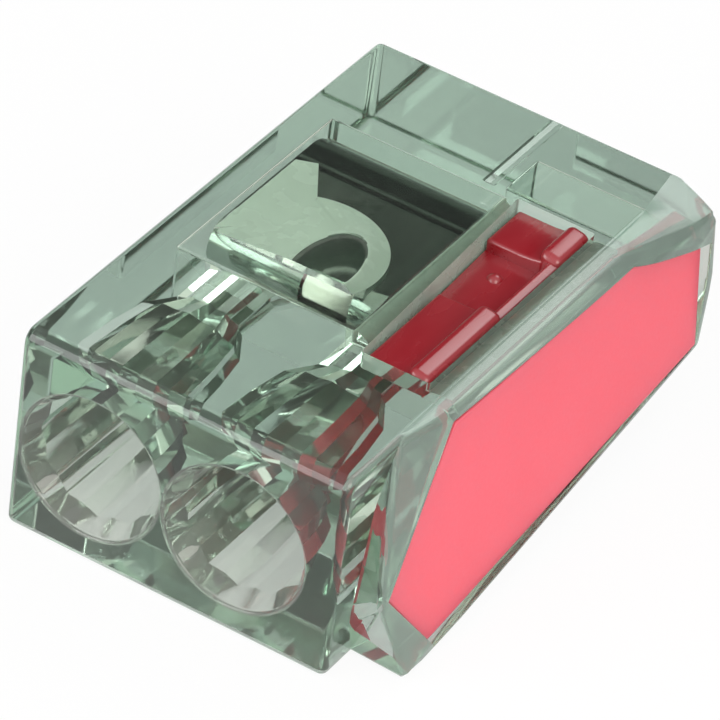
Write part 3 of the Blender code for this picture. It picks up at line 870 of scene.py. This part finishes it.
def make_latch(finish):
    """Latch tongue in the window: strip, rail along its right side, two hooks with ramps and a pip."""
    left = WINDOW_LEFT + LATCH_CLEARANCE
    right = WINDOW_RIGHT - LATCH_CLEARANCE
    start = WINDOW_START + LATCH_CLEARANCE
    end = WINDOW_END - LATCH_CLEARANCE
    root = SEAT_FACE + OVERLAP
    corners = []
    for height in (TONGUE_BOTTOM, TONGUE_TOP):
        corners += [(left, start, height), (root, start, height)]
        corners += [(left - WINDOW_TAPER, end, height), (root, end, height)]
    latch = hull("latch_tongue", corners, PLATE_ROUND)
    rail = [(right - RAIL_WIDTH, TONGUE_BOTTOM), (right, TONGUE_BOTTOM)]
    rail += [(right, RAIL_TOP - RIDGE_FALL), (right - RAIL_WIDTH, RAIL_TOP)]
    ridge = right - RIDGE_WIDTH
    runs = ((start, start + FRONT_HOOK_LENGTH), (end - REAR_HOOK_LENGTH, end))
    shares = [1 - step / RAMP_STEPS for step in range(RAMP_STEPS + 1)]
    hollow = [(share, RAMP_TOP + RAMP_RISE * max(0, share / RAMP_FLAT - 1) ** 2) for share in shares]
    tools = [drawn_out("rail", rail, start, end, RAIL_ROUND)]
    for first, last in runs:
        toe = left - WINDOW_TAPER * (first - start) / (end - start)
        ramp = [(toe, TONGUE_BOTTOM), (ridge + OVERLAP, TONGUE_BOTTOM)]
        ramp += [(toe + (ridge + OVERLAP - toe) * share, height) for share, height in hollow]
        crest = [(ridge, TONGUE_BOTTOM), (right, TONGUE_BOTTOM)]
        crest += [(right, RIDGE_TOP - RIDGE_FALL), (ridge, RIDGE_TOP)]
        tools.append(drawn_out("ramp", ramp, first, last, RAMP_ROUND))
        tools.append(drawn_out("crest", crest, first, last, HOOK_ROUND))
    bm = bmesh.new()
    bmesh.ops.create_uvsphere(bm, u_segments=PIP_STEPS, v_segments=PIP_STEPS // 2, radius=PIP_RADIUS)
    bmesh.ops.translate(bm, vec=at(*PIP, TONGUE_TOP - PIP_SINK), verts=bm.verts)
    tools.append(piece_from(bm, "pip"))
    joined(latch, tools)
    return dressed(smooth(latch), finish, "red_plastic", "connector", "side_cap")


def strip(name, path, left, right, thickness):
    """Sheet metal of even thickness along a path of (y, z) points."""
    bm = bmesh.new()
    points = [bm.verts.new(at(left, y, z)) for y, z in path]
    edges = [bm.edges.new(pair) for pair in zip(points, points[1:])]
    drawn = bmesh.ops.extrude_edge_only(bm, edges=edges)
    moved = [item for item in drawn["geom"] if isinstance(item, bmesh.types.BMVert)]
    bmesh.ops.translate(bm, vec=(right - left, 0, 0), verts=moved)
    sheet = piece_from(bm, name)
    gauge = sheet.modifiers.new("gauge", "SOLIDIFY")
    gauge.thickness = thickness
    gauge.offset = 0
    gauge.use_even_offset = True
    return settled(sheet)


def eased(sheet):
    """Rounds a metal piece's sharp edges."""
    ease = sheet.modifiers.new("ease", "BEVEL")
    ease.width = SHEET_ROUND
    ease.segments = EASE_STEPS
    ease.limit_method = "ANGLE"
    ease.angle_limit = EASE_ANGLE
    return settled(sheet)


BEND_CENTRE = (SPRING_BEND_START, SPRING_LEVEL - SPRING_BEND)
BEND_END = math.pi * 1.5 - LEAF_ANGLE
BEND_SPLIT = math.pi + math.asin((BEND_CENTRE[1] - NOTCH_HEIGHT) / SPRING_BEND)


def make_spring_arm(finish):
    """Part of the spring that stays still: rear flange, flat arm and the start of both bends."""
    path = [(FLANGE_RUN, SPRING_LEVEL - FLANGE_LENGTH)]
    path += arc((FLANGE_RUN - FLANGE_BEND, SPRING_LEVEL - FLANGE_BEND), FLANGE_BEND, 0, math.pi / 2)
    path += arc(BEND_CENTRE, SPRING_BEND, math.pi / 2, BEND_SPLIT)
    left = LEFT_PORT - LEAF_WIDTH / 2
    arm = strip("spring_arm", path, left, RIGHT_PORT + LEAF_WIDTH / 2, SPRING_THICKNESS)
    slot = block(
        "slot",
        (LEFT_PORT + LEAF_WIDTH / 2, TUNNEL_LENGTH, CHAMBER_FLOOR),
        (RIGHT_PORT - LEAF_WIDTH / 2, SPRING_BEND_START, BODY_HEIGHT),
    )
    notch = block("notch", (ARM_RIGHT, TUNNEL_LENGTH, NOTCH_HEIGHT), (SEAT_FACE, CHAMBER_BACK, BODY_HEIGHT))
    carved(arm, [slot, notch])
    return dressed(smooth(eased(arm)), finish, "spring_steel", "connector", "spring_base")


def make_leaf(name, port, finish, node):
    """Clamping leaf: the end of the bend and the straight run down to the busbar."""
    path = arc(BEND_CENTRE, SPRING_BEND, BEND_SPLIT, BEND_END)
    hinge = path[-1]
    along = Vector((math.cos(LEAF_ANGLE), -math.sin(LEAF_ANGLE)))
    stride = along * LEAF_LENGTH / LEAF_STEPS
    path += [tuple(Vector(hinge) + stride * step) for step in range(1, LEAF_STEPS + 1)]
    leaf = strip(name, path, port - LEAF_WIDTH / 2, port + LEAF_WIDTH / 2, SPRING_THICKNESS)
    leaf = smooth(eased(leaf))
    dressed(leaf, finish, "spring_steel", None, node)
    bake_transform(leaf)
    return leaf


def make_busbar(finish):
    """Tinned bar under both ports, turned up at the back."""
    low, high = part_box("busbar")
    low -= CORNER
    high -= CORNER
    half = BUSBAR_THICKNESS / 2
    level = low.z + half
    upstand = high.y - half
    path = [(low.y, level)]
    path += arc((upstand - BUSBAR_BEND, level + BUSBAR_BEND), BUSBAR_BEND, -math.pi / 2, 0)
    path.append((upstand, high.z))
    bar = strip("tinned_busbar", path, low.x, high.x, BUSBAR_THICKNESS)
    notch = block("notch", (ARM_RIGHT, TUNNEL_LENGTH, NOTCH_HEIGHT), (SEAT_FACE, CHAMBER_BACK, BODY_HEIGHT))
    carved(bar, [notch])
    return dressed(smooth(eased(bar)), finish, "tinned_copper", "connector", "busbar")


def make_camera():
    camera = bpy.data.objects.new("camera", bpy.data.cameras.new("camera"))
    bpy.context.scene.collection.objects.link(camera)
    flat = math.cos(CAMERA_ELEVATION)
    away = Vector(
        (math.sin(CAMERA_AZIMUTH) * flat, -math.cos(CAMERA_AZIMUTH) * flat, math.sin(CAMERA_ELEVATION))
    )
    camera.location = AIM + away * CAMERA_DISTANCE
    camera.rotation_mode = "QUATERNION"
    camera.rotation_quaternion = (-away).to_track_quat("-Z", "Y") @ Quaternion((0, 0, 1), CAMERA_ROLL)
    camera.data.lens = CAMERA_LENS
    camera.data.clip_start = CAMERA_DISTANCE / 10
    bpy.context.scene.camera = camera


def softbox(name, place, size, power, colour=WHITE[:3]):
    """A square lamp that faces the object."""
    lamp = bpy.data.lights.new(name, "AREA")
    lamp.color = colour
    lamp.size = size
    lamp.energy = power
    light = bpy.data.objects.new(name, lamp)
    light.location = place
    light.rotation_euler = (AIM - Vector(place)).to_track_quat("-Z", "Y").to_euler()
    bpy.context.scene.collection.objects.link(light)


def make_floor():
    """Plain white floor that keeps the shadow and glows to the camera, in gloss and through the plastic."""
    bm = bmesh.new()
    bmesh.ops.create_grid(bm, x_segments=1, y_segments=1, size=FLOOR_REACH)
    bmesh.ops.translate(bm, vec=(0, 0, -FLOOR_GAP), verts=bm.verts)
    floor = piece_from(bm, "floor")
    finish = bpy.data.materials.new("floor")
    finish.use_nodes = True
    tree = finish.node_tree
    paint = add_node(tree, "ShaderNodeBsdfDiffuse", {}, {"Color": FLOOR_PAINT})
    seen = add_node(tree, "ShaderNodeLightPath", {}, {}, "Is Camera Ray")
    through = add_node(tree, "ShaderNodeLightPath", {}, {}, "Is Transmission Ray")
    mirrored = add_node(tree, "ShaderNodeLightPath", {}, {}, "Is Glossy Ray")
    inside = through + (1 - through) * mirrored
    level = {"Color": WHITE, "Strength": seen + inside * FLOOR_GLOW}
    glow = add_node(tree, "ShaderNodeEmission", {}, level)
    share = seen * FLOOR_SEEN + inside * FLOOR_INSIDE
    mixed = add_node(tree, "ShaderNodeMixShader", {}, {0: share, 1: paint, 2: glow})
    tree.links.new(mixed.socket, tree.nodes["Material Output"].inputs["Surface"])
    floor.data.materials.append(finish)


def make_world():
    """White to the camera, pale through the plastic, and a graded room with a skylight to other rays."""
    world = bpy.data.worlds.new("studio")
    world.use_nodes = True
    bpy.context.scene.world = world
    tree = world.node_tree
    way = add_node(tree, "ShaderNodeTexCoord", {}, {}, "Generated")
    right = add_node(tree, "ShaderNodeSeparateXYZ", {}, {0: way}, "X")
    back = add_node(tree, "ShaderNodeSeparateXYZ", {}, {0: way}, "Y")
    up = add_node(tree, "ShaderNodeSeparateXYZ", {}, {0: way}, "Z")

    def patch(towards, fade, edge):
        """One inside a round patch of the room, nought outside it."""
        product = {"operation": "DOT_PRODUCT"}
        near = add_node(tree, "ShaderNodeVectorMath", product, {0: way, 1: towards}, "Value")
        limits = {"Value": near, "From Min": fade, "From Max": edge}
        return add_node(tree, "ShaderNodeMapRange", {}, limits)

    room = up * ROOM_UP + right * ROOM_RIGHT - back * ROOM_BACK + ROOM_LEVEL
    room = add_node(tree, "ShaderNodeClamp", {}, {"Value": room, "Min": ROOM_LEAST, "Max": 1.0})
    room = room + SKYLIGHT_GLOW * patch(SKYLIGHT_WAY, SKYLIGHT_FADE, SKYLIGHT_EDGE)
    seen = add_node(tree, "ShaderNodeLightPath", {}, {}, "Is Camera Ray")
    through = add_node(tree, "ShaderNodeLightPath", {}, {}, "Is Transmission Ray")
    shaded = 1 - FLAG_SHADE * patch(FLAG_WAY, FLAG_FADE, FLAG_EDGE)
    strength = seen + (1 - seen) * shaded * (through * THROUGH_GLOW + (1 - through) * room)
    tints = {"Factor": through, 6: WHITE, 7: THROUGH_TINT}
    tint = add_node(tree, "ShaderNodeMix", {"data_type": "RGBA"}, tints, 2)
    background = tree.nodes["Background"]
    tree.links.new(tint.socket, background.inputs["Color"])
    tree.links.new(strength.socket, background.inputs["Strength"])


def main():
    steel = spring_steel()
    finishes = [clear_plastic(*finish) for finish in HOUSING_FINISHES]
    make_housing(*finishes)
    make_plate(lit_red_plate())
    make_latch(red_latch())
    make_spring_arm(steel)
    make_leaf("clamp_leaf_left", LEFT_PORT, steel, "spring_leaf_left")
    make_leaf("clamp_leaf_right", RIGHT_PORT, steel, "spring_leaf_right")
    make_busbar(tinned_copper())
    make_camera()
    make_floor()
    make_world()
    softbox("key", KEY_PLACE, KEY_SIZE, KEY_POWER, KEY_COLOUR)
    softbox("fill", FILL_PLACE, FILL_SIZE, FILL_POWER)
    bpy.context.scene.view_settings.view_transform = "Standard"


main()
